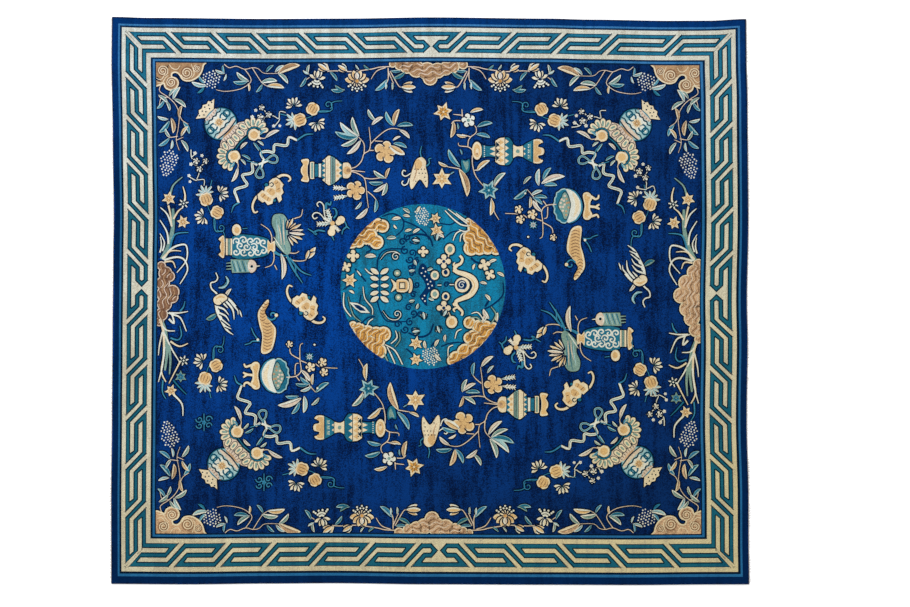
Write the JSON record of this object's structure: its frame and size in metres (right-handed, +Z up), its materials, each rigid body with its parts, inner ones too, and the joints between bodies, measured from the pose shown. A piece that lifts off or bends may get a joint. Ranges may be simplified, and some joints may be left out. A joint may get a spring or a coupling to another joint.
{
  "type": "pile carpet",
  "caption": "Flat hand-knotted wool pile carpet, nearly square, with a fret border, round medallion and scattered motifs, and a short worn fringe at both warp ends.",
  "frame": {"origin": "on the floor under the middle of the whole outline, fringe included", "axes": "+X along the warps, towards the right-hand fringe; +Y towards the top selvedge; +Z up through the pile"},
  "size_m": [2.779, 2.4528, 0.011],
  "materials": {
    "wool_pile": "matt cut wool pile",
    "cotton_warp": "matt worn cotton ends"
  },
  "bodies": {
    "root": {"carpet": "wool_pile", "fringe_left": "cotton_warp", "fringe_right": "cotton_warp"}
  },
  "joints": []
}
